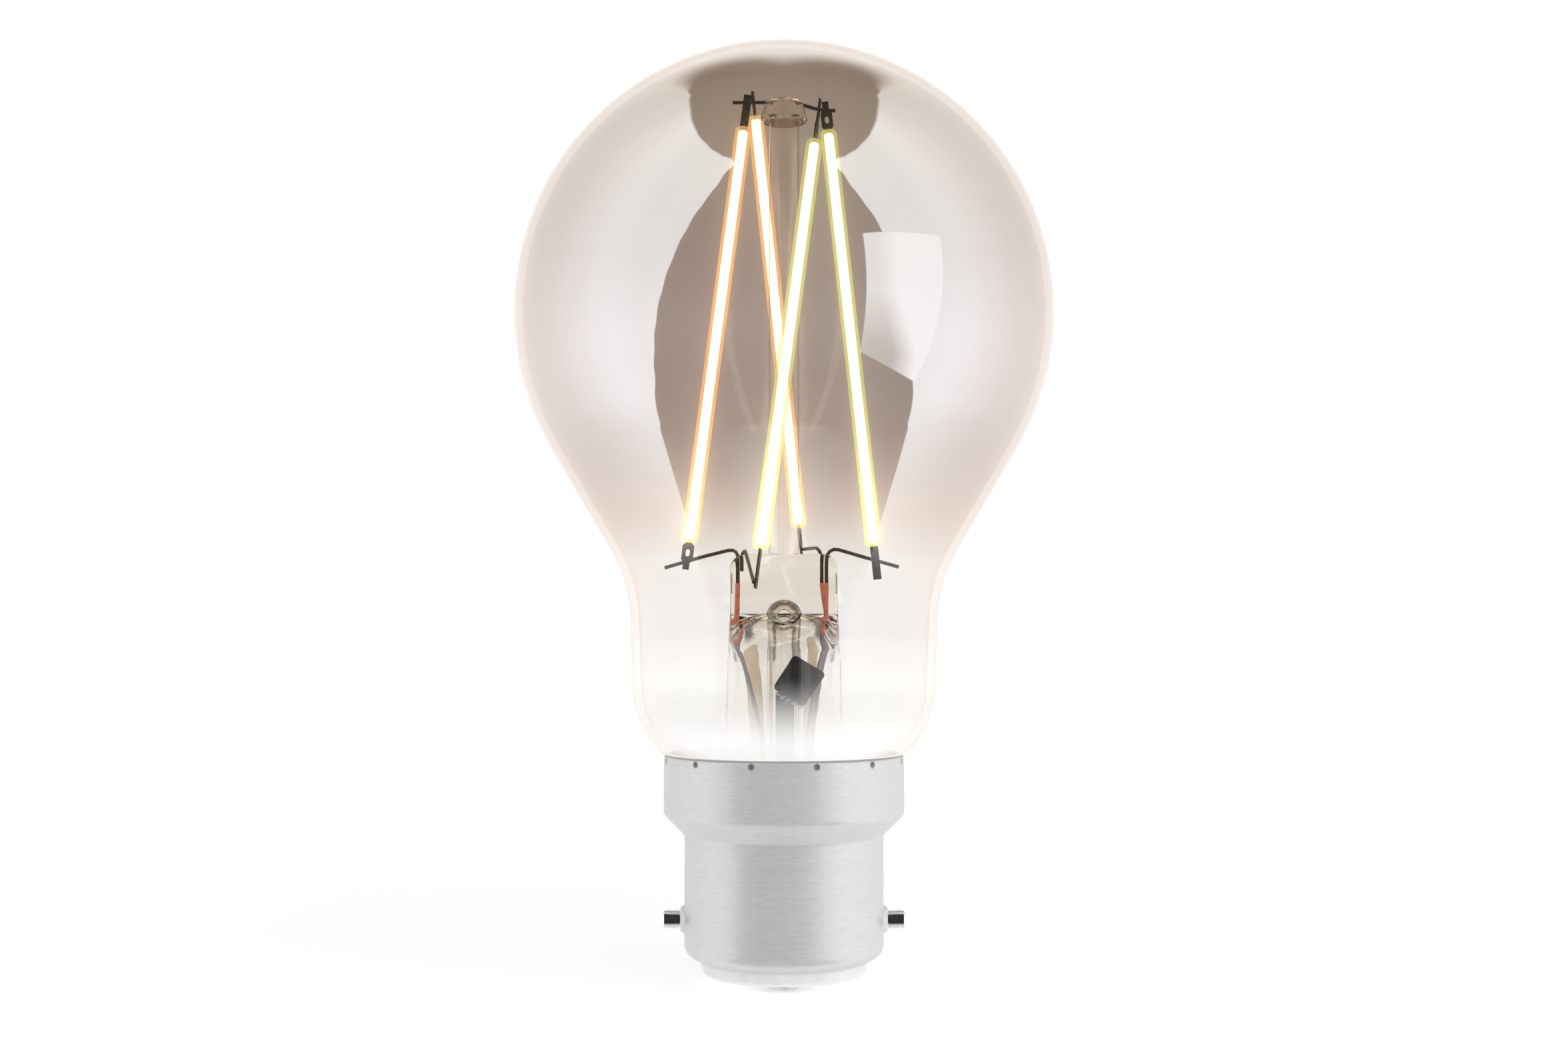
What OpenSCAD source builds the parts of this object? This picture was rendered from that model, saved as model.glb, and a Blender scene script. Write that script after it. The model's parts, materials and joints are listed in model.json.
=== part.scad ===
// Smart filament lamp with a 22 mm bayonet cap.
// Frame: origin under the cap on the contact plane, +Z along the lamp axis, bayonet pins along X,
// contacts along Y, the side that faces -Y is the front.

/* [Glass] */
// Largest diameter of the glass bulb
glass_d = 60; // [58:0.5:62]
// Height from the contact plane to the top of the glass
overall_h = 104; // [102:0.5:108]
// Half angle of the cone between the ball and the neck, degrees
cone_angle = 30.5; // [28:0.5:33]
// Outer radius of the neck at its narrowest
neck_r = 17; // [16:0.1:18]
// Radius of the hollow curve from the cone into the neck
neck_fillet_r = 16.5; // [15:0.5:18]
// Radius of the round shoulder above the cap
shoulder_r = 10.5; // [10:0.1:11]
// Thickness of the blown glass
glass_wall = 0.9; // [0.7:0.1:1.1]

/* [Cap] */
// Outer diameter of the wide collar that grips the glass
collar_d = 26.6; // [26.4:0.1:27]
// Outer diameter of the barrel that enters the lamp holder
barrel_d = 22; // [21.9:0.05:22.15]
// Height of the collar's rim above the contact plane
rim_z = 25.05; // [24.5:0.05:25.2]
// Sheet thickness of the cap shell
shell_t = 0.3; // [0.25:0.05:0.4]
// Height of the bayonet pins above the contact plane
pin_z = 6.8; // [6.5:0.1:7]
// Diameter of a bayonet pin
pin_d = 2; // [1.9:0.05:2.1]
// Distance over both pin tips
pins_span = 26.8; // [26.5:0.1:27]
// Distance between the two contact centres
contact_gap = 8; // [7.5:0.1:8.5]
// Number of punched dimples under the rim
dimples = 12; // [8:1:16]

/* [Stem] */
// Width of the flat glass press that seals the wires
press_w = 11.9; // [11:0.1:12.5]
// Thickness of the press
press_t = 3.4; // [3:0.1:4]
// Height of the top of the press
press_top_z = 47.1; // [46:0.1:48]
// Diameter of the glass rod that carries the upper wires
rod_d = 3.4; // [3:0.1:3.6]
// Height of the underside of the glass button on the rod
button_z = 95.8; // [95:0.1:96]
// Outer diameter of the exhaust tube
exhaust_d = 3.8; // [3.4:0.1:4]

/* [Filaments] */
// Length of the ceramic strip inside each filament
strip_l = 46; // [44:0.5:47]
// Diameter of the phosphor coat
coat_d = 1.85; // [1.6:0.05:1.85]
// Number of chips on each strip
chips = 24; // [12:1:28]
// Diameter of the support and lead wires
wire_d = 0.4; // [0.3:0.05:0.4]

/* [Hidden] */

$fn = 96;
slack = 0.02;

// glass outline
glass_r = glass_d / 2;
ball_z = overall_h - glass_r;
neck_taper = 0.27;
shoulder_z = 32.6;
cone_drop = (glass_r * cos(cone_angle) - neck_r - neck_fillet_r * (1 - cos(cone_angle))) / tan(cone_angle);
fillet_c = [neck_r + neck_fillet_r, ball_z - (glass_r + neck_fillet_r) * sin(cone_angle) - cone_drop];
seal_r = 12.5;
seal_z = 20.2;
ledge_gap = 0.05;

// cap outline
collar_r = collar_d / 2;
barrel_r = barrel_d / 2;
collar_round_r = 0.9;
collar_c = [collar_r - collar_round_r, rim_z - 6.25];
rim_round_r = 0.45;
waist_round_r = 0.6;
waist_c = [barrel_r + waist_round_r, collar_c[1] - (collar_c[0] - barrel_r - waist_round_r)
    - (collar_round_r + waist_round_r) * sqrt(2)];
foot_round_r = 1.5;
foot_c = [barrel_r - foot_round_r, 4.2];
lip_r = 9.5;
lip_slope = tan(30);
dimple_d = 0.9;
dimple_z = rim_z - 0.6;
dimple_out = 0.25;
pin_ring_x = [barrel_r - 0.25, barrel_r + 0.4];
pin_ring_r = [1.75, 1.3];
pin_free_x = pin_ring_x[1] + 0.1;
pin_tip = 0.2;
pin_shank_r = pin_d / 2 - 0.2;
pin_head_r = 1.5;
pin_head_t = 0.5;
pin_head_x = barrel_r - shell_t - pin_head_t - 0.05;

// base
insulator_z = 0.9;
insulator_r = 9.28;
flange_r = 10.6;
flange_z = [3.9, 5.4];
insulator_edge_r = 0.7;
insulator_floor_z = 3.2;
insulator_hollow_r = 8;
contact_r = 2.6;
contact_t = 0.5;
eyelet_r = 1;
eyelet_l = 3;
pad_r = 2.2;
feed_d = 0.7;

// stem
flare_wall = 0.6;
flare_low_r = 6.6;
flare_high_r = 6.2;
flare_bend_r = 5;
flare_seal_t = 0.8;
flare_bend_z = seal_z + flare_bend_r;
wedge_z = [38, 41.5];
blow_hole_z = 40.1;
blow_ball_r = 1.96;
exhaust_wall = 0.55;
exhaust_tip_z = 19.6;
exhaust_top_h = blow_hole_z - exhaust_tip_z - exhaust_d / 2;
blow_mouth_r = 0.8;
press_round_r = 1.6;
press_low_z = wedge_z[0] + 1;
pinch_t = 0.3;
pinch_depth = 1.6;
button_r = [2.7, 2.15];
button_h = 2.55;
button_edge_r = 0.4;
seal_wire_d = 0.5;
seal_wire_top_z = 43.9;

// filaments: top weld, bottom weld, distance from the top weld to the middle of the coat, twist,
// tab length past the top weld and past the bottom weld, whether the pierced tab is the top one
warm_left = [[-4.15, -0.35, 98.1], [-10.85, -0.35, 46.3], 26.5, 0, [0.8, 0.9], false];
warm_back = [[-3.4, 0.55, 98.1], [2, 8.7, 48], 24.9, 78, [1.4, 1], false];
cool_front = [[3.95, -0.5, 97.3], [-3, -9.3, 43.7], 27.4, 78, [1.1, 0.5], true];
cool_right = [[4.7, -0.24, 97.3], [10.2, -0.24, 46.3], 26, 0, [0.85, 2], true];
strip_w = 0.8;
strip_t = 0.4;
coat_over = 0.6;
chip = [0.5, 0.2, 0.9];
tab_t = 0.2;
tab_plain_w = 0.9;
tab_w = 0.72;
tab_eye_w = 1.3;
tab_eye_z = [coat_over + 0.05, coat_over + 2.25];
tab_eye_bevel = 0.3;
tab_hole = [0.47, 0.8];
coat_end_r = 0.5;

// routes of the wires
wire_sides = 8;
wire_side = [0.2, 1, 0.1];
press_left_x = -5.1;
press_right_x = 4.7;
press_inner = [4.2, 0.9];
support_warm_route = [[-0.9, -0.05, 97.6], [-1.6, -0.05, 98.1], [-5.8, -0.05, 98.1]];
support_cool_route = [[0.9, 0.05, 97.6], [1.6, 0.05, 98], [3.9, 0.05, 97.3], [5.8, 0.05, 97.2]];
common_route = [[press_left_x, 0, seal_wire_top_z], [press_left_x, 0, 47.1], [-5.6, -0.05, 47.7],
    [-9.2, -0.05, 46.8], [-13.3, -0.05, 45.6]];
branch_route = [[-4.68, 0, 45.2], [-4.68, 0, 47.2], [-4.3, -1.5, 47.5], [-3.22, -9.2, 43.8]];
cool_route = [[press_right_x, 0, seal_wire_top_z], [press_right_x, 0, 47.1], [5.5, 0.05, 47.8],
    [8.9, 0.05, 46.8], [12.8, 0.05, 45.7]];
warm_route = [[press_inner[0], press_inner[1], seal_wire_top_z], [press_inner[0], press_inner[1], 47.2],
    [3.7, 1.5, 47.9], [2.28, 8.9, 48]];
seal_routes = [
    [[press_left_x, 0, seal_wire_top_z], [-5.2, 0, 37.6]],
    [[press_right_x, 0, seal_wire_top_z], [4.6, 0, 37.9]],
    [[press_inner[0], press_inner[1], seal_wire_top_z], [4.9, 0.9, 38.3]]];
tail_routes = [
    [[-5.2, 0, 37.6], [-4.2, 0, 33.9], [-2.4, -0.15, 27], [-2.4, -0.15, 17]],
    [[4.6, 0, 37.9], [3.6, 0, 33.5], [2.6, -0.15, 27], [2.6, -0.15, 17]],
    [[4.9, 0.9, 38.3], [4.5, 1.9, 35.5], [3.2, 2.3, 27], [3.2, 1.35, 20], [3.2, 1.35, 17.1]]];
mains_routes = [
    [[0, -contact_gap / 2, insulator_z], [0, -contact_gap / 2, 5], [-3, -0.3, 6.8], [-3, -0.3, 8]],
    [[0, contact_gap / 2, insulator_z], [0, contact_gap / 2, 5], [3, 1.5, 6.8], [3, 1.5, 8]]];

// flat insulating strips beside the tails: foot, top, width
strip_left = [[-2.55, 1.55, 22], [-3.85, 1.3, 37.2], 1.7];
strip_right = [[2.1, 1.5, 22], [3.4, 1.2, 37.9], 1];
flat_strip_t = 0.5;

// inside the cap
cement_h = 3.4;
liner_r = 10;
liner_wall = 0.6;
liner_h = 12.6;
board = [15, 1, 11.5];
board_z = 6.4;
board_front_y = 0.1;
board_back_y = board_front_y + board[1];
rectifier = [4.6, 2.4, 3.8];
rectifier_xz = [-6.5, 12.5];
capacitor_r = 2.5;
capacitor_h = 7.6;
capacitor_xz = [1.9, 9.2];
inductor_r = 1.9;
inductor_h = 4;
inductor_flange_t = 0.7;
inductor_xz = [-4.6, 9.4];
resistor_r = 0.95;
resistor_l = 5.6;
resistor_xz = [-5.6, 8.6];
driver_ic = [4.8, 1.4, 3.8];
driver_ic_xz = [2, 12.6];
radio = [8, 0.8, 10];
radio_y = -4.6;
radio_z = 7.4;
shield = [6, 1.4, 6];

// antenna
antenna_x = -0.9;
antenna_w = 2;
antenna_t = 1.1;
antenna_y = -3.15;
antenna_z = [16, 18.6, 31.8];
block = [3.9, 4.4];
block_c = [1.6, 33.1];
block_tilt = -32;
block_round_r = 0.5;

// points of an arc around c, from angle a0 to a1
function arc(c, r, a0, a1, n) = [for (i = [0:n]) let (a = a0 + (a1 - a0) * i / n) c + r * [cos(a), sin(a)]];

// outline of the bulb from its seal over the ledge on the rim to its top, moved inwards by t
function glass_line(t) = concat(
    [[seal_r - t, seal_z], [seal_r - t, rim_z + ledge_gap + 0.75 * t]],
    arc([neck_r - neck_taper - shoulder_r, shoulder_z], shoulder_r - t, -45.5, 0, 14),
    arc(fillet_c, neck_fillet_r + t, 180, 180 - cone_angle, 14),
    arc([0, ball_z], glass_r - t, -cone_angle, 90, 44));

// outline of the cap shell from its rolled rim to its foot, moved inwards by t
function cap_line(t) = let (foot = arc(foot_c, foot_round_r - t, 0, -60, 8), last = foot[8]) concat(
    arc([collar_r - rim_round_r, rim_z - rim_round_r], rim_round_r - t, 90, 0, 5),
    arc(collar_c, collar_round_r - t, 0, -45, 6),
    arc(waist_c, waist_round_r + t, 135, 180, 6),
    foot,
    [[lip_r, last[1] - (last[0] - lip_r) * lip_slope]]);

function unit(v) = v / norm(v);

// the three points that round the corner at q on the way from p to s
function corner(p, q, s, cut) =
    let (a = q - cut * unit(q - p), b = q + cut * unit(s - q)) [a, (a + 2 * q + b) / 4, b];

// the route through the points with every corner rounded
function rounded(p, cut) = concat([p[0]],
    [for (i = [1:1:len(p) - 2]) each corner(p[i - 1], p[i], p[i + 1], cut)], [p[len(p) - 1]]);

function backwards(p) = [for (i = [len(p) - 1:-1:0]) p[i]];

// a solid of revolution between two outlines
module turned_wall(outer, inner) {
    rotate_extrude() polygon(concat(outer, backwards(inner)));
}

// puts its children at point a with their +Z pointing at point b
module aim(a, b) {
    d = b - a;
    translate(a) rotate([0, acos(d[2] / norm(d)), atan2(d[1], d[0])]) children();
}

// the ring of points around a wire at p that runs along t
function ring(p, t, r) = let (u = unit(cross(wire_side, t)), v = cross(t, u))
    [for (k = [0:wire_sides - 1]) let (a = 360 * k / wire_sides) p + r * (cos(a) * u + sin(a) * v)];

// a round wire through the points, with rounded bends
module wire(points, d) {
    path = rounded(points, 1.5 * d);
    last = len(path) - 1;
    n = wire_sides;
    corners = [for (i = [0:last]) let (along = path[min(i + 1, last)] - path[max(i - 1, 0)])
        each ring(path[i], unit(along), d / 2)];
    sides = [for (i = [0:last - 1], k = [0:n - 1]) let (a = i * n + k, b = i * n + (k + 1) % n)
        each [[a, a + n, b + n], [a, b + n, b]]];
    ends = [[for (k = [0:n - 1]) k], [for (k = [n - 1:-1:0]) last * n + k]];
    polyhedron(points = corners, faces = concat(sides, ends));
}

// puts a filament drawn downwards from its top weld between its two welds, twisted about its length
module hang(f) {
    u = (f[0] - f[1]) / norm(f[0] - f[1]);
    translate(f[0]) rotate([-asin(u[1]), atan2(u[0], u[2]), 0]) rotate([0, 0, f[3]]) children();
}

module glass_envelope() {
    color([0.62, 0.56, 0.53, 0.35])
        turned_wall(glass_line(0), glass_line(glass_wall));
}

// the tube that narrows into the press, full or hollowed
module pinched_tube(r, half_t, top_z) {
    intersection() {
        translate([0, 0, wedge_z[0]]) cylinder(h = top_z - wedge_z[0], r = r);
        rotate([90, 0, 90]) linear_extrude(4 * r, center = true)
            polygon([[-r, wedge_z[0]], [r, wedge_z[0]], [half_t, top_z], [-half_t, top_z]]);
    }
}

module press_slab() {
    flat_w = press_w - 2 * press_round_r;
    rotate([90, 0, 0]) linear_extrude(press_t, center = true) {
        translate([-press_w / 2, press_low_z])
            square([press_w, press_top_z - press_low_z - press_round_r]);
        translate([-flat_w / 2, press_low_z]) square([flat_w, press_top_z - press_low_z]);
        for (side = [-1, 1])
            translate([side * flat_w / 2, press_top_z - press_round_r]) circle(press_round_r);
    }
}

module flare_tube() {
    bend_c = [flare_low_r + flare_bend_r, flare_bend_z];
    turned_wall(
        concat([[seal_r, seal_z]], arc(bend_c, flare_bend_r, 270, 180, 10), [[flare_high_r, wedge_z[0]]]),
        concat([[seal_r, seal_z - flare_seal_t]], arc(bend_c, flare_bend_r + flare_seal_t, 270, 180, 10),
            [[flare_high_r - flare_wall, wedge_z[0]]]));
}

module stem_flare() {
    color([0.86, 0.84, 0.8, 0.35]) difference() {
        union() {
            flare_tube();
            pinched_tube(flare_high_r, press_t / 2, wedge_z[1]);
            press_slab();
        }
        pinched_tube(flare_high_r - flare_wall, pinch_t, wedge_z[1] - pinch_depth);
        translate([0, 0, blow_hole_z]) sphere(blow_ball_r);
        translate([0, 0, wedge_z[0] - 1]) cylinder(h = blow_hole_z - wedge_z[0] + 1, d = exhaust_d);
        wire(common_route, wire_d);
        wire(branch_route, wire_d);
        wire(cool_route, wire_d);
        wire(warm_route, wire_d);
        for (route = seal_routes) wire(route, seal_wire_d);
    }
}

module exhaust_tube() {
    bore_r = exhaust_d / 2 - exhaust_wall;
    color([0.86, 0.86, 0.82, 0.35]) difference() {
        union() {
            translate([0, 0, exhaust_tip_z + exhaust_d / 2]) cylinder(h = exhaust_top_h, d = exhaust_d);
            translate([0, 0, exhaust_tip_z + exhaust_d / 2]) sphere(d = exhaust_d);
            translate([0, 0, blow_hole_z]) sphere(blow_ball_r);
        }
        translate([0, 0, exhaust_tip_z + exhaust_d / 2]) cylinder(h = exhaust_top_h, r = bore_r);
        translate([0, 0, exhaust_tip_z + exhaust_d / 2]) sphere(bore_r);
        translate([0, 0, blow_hole_z]) sphere(blow_ball_r - exhaust_wall + 0.1);
        translate([0, 0, blow_hole_z]) rotate([90, 0, 0])
            cylinder(h = 2 * exhaust_d, r = blow_mouth_r, center = true);
    }
}

module centre_rod() {
    color([0.86, 0.86, 0.84, 0.35])
        translate([0, 0, press_top_z]) cylinder(h = button_z - press_top_z, d = rod_d);
}

module support_button() {
    color([0.86, 0.86, 0.84, 0.35]) difference() {
        translate([0, 0, button_z]) rotate_extrude() polygon(concat(
            [[0, 0]],
            arc([button_r[0] - button_edge_r, button_edge_r], button_edge_r, -90, 0, 6),
            arc([button_r[1] - button_edge_r, button_h - button_edge_r], button_edge_r, 0, 90, 6),
            [[0, button_h]]));
        wire(support_warm_route, wire_d);
        wire(support_cool_route, wire_d);
    }
}

module support_wire_warm() {
    color([0.25, 0.22, 0.2]) wire(support_warm_route, wire_d);
}

module support_wire_cool() {
    color([0.25, 0.22, 0.2]) wire(support_cool_route, wire_d);
}

module lead_wire_common() {
    color([0.35, 0.3, 0.27]) wire(common_route, wire_d);
}

module lead_wire_branch() {
    color([0.35, 0.3, 0.27]) wire(branch_route, wire_d);
}

module lead_wire_warm() {
    color([0.35, 0.3, 0.27]) wire(warm_route, wire_d);
}

module lead_wire_cool() {
    color([0.35, 0.3, 0.27]) wire(cool_route, wire_d);
}

module seal_wires() {
    color([0.72, 0.32, 0.25]) for (route = seal_routes) wire(route, seal_wire_d);
}

module lead_tails() {
    color([0.6, 0.6, 0.63]) for (route = tail_routes) wire(route, seal_wire_d);
}

// a flat strip from its foot up to its round top
module flat_strip(s) {
    straight = norm(s[1] - s[0]) - s[2] / 2;
    aim(s[0], s[1]) rotate([90, 0, 0]) linear_extrude(flat_strip_t, center = true) {
        translate([-s[2] / 2, 0]) square([s[2], straight]);
        translate([0, straight]) circle(s[2] / 2, $fn = 48);
    }
}

// the strips that keep the leads off the exhaust tube
module lead_insulators() {
    color([0.9, 0.83, 0.72]) {
        flat_strip(strip_left);
        flat_strip(strip_right);
    }
}

// one filament, drawn downwards from its top weld
function filament_l(f) = norm(f[0] - f[1]);

module strip_shape(f) {
    translate([-strip_w / 2, -strip_t / 2, -f[2] - strip_l / 2]) cube([strip_w, strip_t, strip_l]);
}

module filament_strip(f) {
    color([0.93, 0.93, 0.9]) hang(f) strip_shape(f);
}

// right half of a tab's outline, from the strip's end up to its tip at l
function tab_edge(l, pierced) = pierced ?
    [[tab_w / 2, 0], [tab_w / 2, tab_eye_z[0]], [tab_eye_w / 2, tab_eye_z[0] + tab_eye_bevel],
     [tab_eye_w / 2, tab_eye_z[1] - tab_eye_bevel], [tab_w / 2, tab_eye_z[1]], [tab_w / 2, l]] :
    [[tab_plain_w / 2, 0], [tab_plain_w / 2, l]];

// an end tab that starts at the strip's end, plain or with an oval eye
module tab(l, pierced) {
    edge = tab_edge(l, pierced);
    hole_z = (tab_eye_z[0] + tab_eye_z[1]) / 2;
    reach = (tab_hole[1] - tab_hole[0]) / 2;
    rotate([90, 0, 0]) linear_extrude(tab_t, center = true) difference() {
        polygon(concat(edge, [for (p = backwards(edge)) [-p[0], p[1]]]));
        if (pierced) {
            for (end = [-1, 1]) translate([0, hole_z + end * reach]) circle(d = tab_hole[0], $fn = 32);
            translate([-tab_hole[0] / 2, hole_z - reach]) square([tab_hole[0], 2 * reach]);
        }
    }
}

module both_tabs(f) {
    top_l = f[2] - strip_l / 2 + f[4][0];
    bottom_l = filament_l(f) - f[2] - strip_l / 2 + f[4][1];
    translate([0, 0, -f[2] + strip_l / 2]) tab(top_l, f[5]);
    translate([0, 0, -f[2] - strip_l / 2]) mirror([0, 0, 1]) tab(bottom_l, !f[5]);
}

module filament_tabs(f) {
    color([0.3, 0.25, 0.22]) hang(f) both_tabs(f);
}

module filament_chips(f) {
    pitch = strip_l / chips;
    low_z = -f[2] - strip_l / 2 - chip[2] / 2;
    color([0.5, 0.6, 0.85]) hang(f) for (i = [0:chips - 1])
        translate([-chip[0] / 2, -strip_t / 2 - chip[1], low_z + (i + 0.5) * pitch]) cube(chip);
}

module filament_coat(f, glow) {
    half_l = strip_l / 2 + coat_over;
    round_x = coat_d / 2 - coat_end_r;
    color(glow) hang(f) difference() {
        translate([0, 0, -f[2]]) rotate_extrude() polygon(concat(
            [[0, -half_l]],
            arc([round_x, coat_end_r - half_l], coat_end_r, -90, 0, 6),
            arc([round_x, half_l - coat_end_r], coat_end_r, 0, 90, 6),
            [[0, half_l]]));
        strip_shape(f);
        for (z = [-half_l, strip_l / 2])
            translate([-tab_plain_w / 2, -tab_t / 2, z - f[2] - slack])
                cube([tab_plain_w, tab_t, coat_over + 2 * slack]);
        translate([-chip[0] / 2, -strip_t / 2 - chip[1], -f[2] - strip_l / 2])
            cube([chip[0], chip[1], strip_l]);
    }
}

warm_glow = [1, 0.8, 0.5];
cool_glow = [0.97, 0.97, 0.7];

module warm_left_strip() { filament_strip(warm_left); }
module warm_left_tabs() { filament_tabs(warm_left); }
module warm_left_chips() { filament_chips(warm_left); }
module warm_left_coat() { filament_coat(warm_left, warm_glow); }
module warm_back_strip() { filament_strip(warm_back); }
module warm_back_tabs() { filament_tabs(warm_back); }
module warm_back_chips() { filament_chips(warm_back); }
module warm_back_coat() { filament_coat(warm_back, warm_glow); }
module cool_front_strip() { filament_strip(cool_front); }
module cool_front_tabs() { filament_tabs(cool_front); }
module cool_front_chips() { filament_chips(cool_front); }
module cool_front_coat() { filament_coat(cool_front, cool_glow); }
module cool_right_strip() { filament_strip(cool_right); }
module cool_right_tabs() { filament_tabs(cool_right); }
module cool_right_chips() { filament_chips(cool_right); }
module cool_right_coat() { filament_coat(cool_right, cool_glow); }

// the small raised ring of shell metal around each pin
module pin_ring() {
    translate([pin_ring_x[0], 0, pin_z]) rotate([0, 90, 0])
        cylinder(h = pin_ring_x[1] - pin_ring_x[0], r1 = pin_ring_r[0], r2 = pin_ring_r[1]);
}

module cap_shell() {
    color([0.78, 0.78, 0.79]) difference() {
        union() {
            turned_wall(cap_line(0), cap_line(shell_t));
            difference() {
                for (side = [0, 1]) mirror([side, 0, 0]) pin_ring();
                translate([0, 0, pin_z - pin_ring_r[0] - 1])
                    cylinder(h = 2 * pin_ring_r[0] + 2, r = barrel_r - shell_t / 2);
            }
        }
        translate([0, 0, pin_z]) rotate([0, 90, 0])
            cylinder(h = 2 * collar_d, r = pin_shank_r, center = true);
        for (i = [0:dimples - 1])
            rotate([0, 0, (i + 0.5) * 360 / dimples]) translate([collar_r + dimple_out, 0, dimple_z])
                sphere(d = dimple_d, $fn = 24);
    }
}

// a riveted pin: head inside the shell, shank, and the free end with its chamfered tip
module bayonet_pin() {
    r = pin_d / 2;
    end_x = pins_span / 2;
    translate([0, 0, pin_z]) rotate([0, 90, 0]) rotate_extrude() polygon([
        [0, pin_head_x], [pin_head_r, pin_head_x], [pin_head_r, pin_head_x + pin_head_t - 0.1],
        [pin_shank_r, pin_head_x + pin_head_t], [pin_shank_r, pin_free_x],
        [r, pin_free_x], [r, end_x - pin_tip], [r - pin_tip, end_x], [0, end_x]]);
}

module bayonet_pin_left() {
    color([0.7, 0.7, 0.7]) mirror([1, 0, 0]) bayonet_pin();
}

module bayonet_pin_right() {
    color([0.7, 0.7, 0.7]) bayonet_pin();
}

module base_insulator() {
    edge_x = insulator_r - insulator_edge_r - 0.2;
    color([0.95, 0.95, 0.94]) difference() {
        rotate_extrude() polygon(concat(
            [[0, insulator_z]],
            arc([edge_x, insulator_z + insulator_edge_r], insulator_edge_r, -90, -5, 8),
            [[insulator_r, 2.4], [insulator_r, flange_z[0]],
             [flange_r, flange_z[0]], [flange_r, flange_z[1]], [insulator_hollow_r, flange_z[1]],
             [insulator_hollow_r, insulator_floor_z], [0, insulator_floor_z]]));
        for (side = [-1, 1]) translate([0, side * contact_gap / 2, 0]) {
            cylinder(h = insulator_z + contact_t, r = contact_r);
            cylinder(h = flange_z[1], r = eyelet_r);
        }
    }
}

// a contact plate with its hollow eyelet through the insulator
module contact_plate(side) {
    color([0.8, 0.66, 0.38]) translate([0, side * contact_gap / 2, 0]) difference() {
        union() {
            translate([0, 0, insulator_z]) cylinder(h = contact_t, r = contact_r);
            translate([0, 0, insulator_z]) cylinder(h = eyelet_l, r = eyelet_r);
        }
        cylinder(h = insulator_z + eyelet_l + 1, d = feed_d);
    }
}

module contact_plate_front() { contact_plate(-1); }
module contact_plate_back() { contact_plate(1); }

// a domed solder pad with a flat worn face
module solder_pad(side) {
    color([0.72, 0.72, 0.73]) translate([0, side * contact_gap / 2, 0]) rotate_extrude() polygon(concat(
        [[0, 0]], arc([pad_r - insulator_z, insulator_z], insulator_z, -90, 0, 8), [[0, insulator_z]]));
}

module solder_pad_front() { solder_pad(-1); }
module solder_pad_back() { solder_pad(1); }

module cap_cement() {
    color([0.85, 0.84, 0.8]) translate([0, 0, seal_z]) difference() {
        cylinder(h = cement_h, r = collar_r - shell_t);
        translate([0, 0, -1]) cylinder(h = cement_h + 2, r = seal_r);
    }
}

module driver_liner() {
    color([0.9, 0.9, 0.88]) translate([0, 0, flange_z[1]]) difference() {
        cylinder(h = liner_h, r = liner_r);
        translate([0, 0, -1]) cylinder(h = liner_h + 2, r = liner_r - liner_wall);
    }
}

module mains_wires() {
    color([0.85, 0.45, 0.3]) for (route = mains_routes) wire(route, feed_d);
}

module driver_board() {
    color([0.16, 0.36, 0.2]) translate([-board[0] / 2, board_front_y, board_z]) cube(board);
}

module bridge_rectifier() {
    color([0.1, 0.1, 0.1]) translate([rectifier_xz[0], board_back_y, rectifier_xz[1]]) cube(rectifier);
}

module bulk_capacitor() {
    color([0.14, 0.16, 0.3]) translate([capacitor_xz[0], board_back_y + capacitor_r, capacitor_xz[1]])
        cylinder(h = capacitor_h, r = capacitor_r);
}

// a bobbin core that stands on the back of the board
module filter_inductor() {
    color([0.25, 0.25, 0.26])
        translate([inductor_xz[0], board_back_y, inductor_xz[1]]) rotate([-90, 0, 0]) {
            cylinder(h = inductor_flange_t, r = inductor_r);
            cylinder(h = inductor_h, r = inductor_r - 0.5);
            translate([0, 0, inductor_h - inductor_flange_t])
                cylinder(h = inductor_flange_t, r = inductor_r);
        }
}

module fuse_resistor() {
    color([0.45, 0.6, 0.65]) translate([resistor_xz[0], board_front_y - resistor_r, resistor_xz[1]])
        cylinder(h = resistor_l, r = resistor_r);
}

module driver_chip() {
    color([0.09, 0.09, 0.1]) translate([driver_ic_xz[0], board_front_y - driver_ic[1], driver_ic_xz[1]])
        cube(driver_ic);
}

module radio_module() {
    color([0.1, 0.25, 0.4]) translate([-radio[0] / 2, radio_y, radio_z]) cube(radio);
}

module radio_shield() {
    color([0.75, 0.75, 0.76]) translate([-shield[0] / 2, radio_y - shield[1], radio_z + 1]) cube(shield);
}

// the flat lead that stands on the radio board and rises through the flare
module antenna_lead() {
    back_y = radio_y + radio[1];
    color([0.09, 0.09, 0.09]) {
        translate([antenna_x, antenna_y, antenna_z[1]])
            cube([antenna_w, antenna_t, antenna_z[2] - antenna_z[1]]);
        translate([antenna_x, back_y, antenna_z[0]])
            cube([antenna_w, antenna_y + antenna_t - back_y, antenna_z[1] - antenna_z[0]]);
    }
}

// the tilted block on top of the lead
module antenna_block() {
    flat = [block[0] / 2 - block_round_r, block[1] / 2 - block_round_r];
    color([0.12, 0.12, 0.12]) difference() {
        translate([block_c[0], antenna_y + antenna_t, block_c[1]])
            rotate([90, 0, 0]) rotate([0, 0, block_tilt]) linear_extrude(antenna_t) {
                square([2 * flat[0], block[1]], center = true);
                square([block[0], 2 * flat[1]], center = true);
                for (i = [-1, 1], j = [-1, 1])
                    translate([i * flat[0], j * flat[1]]) circle(block_round_r, $fn = 32);
            }
        translate([antenna_x, antenna_y - 1, antenna_z[1]])
            cube([antenna_w, antenna_t + 2, antenna_z[2] - antenna_z[1]]);
    }
}

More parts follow.
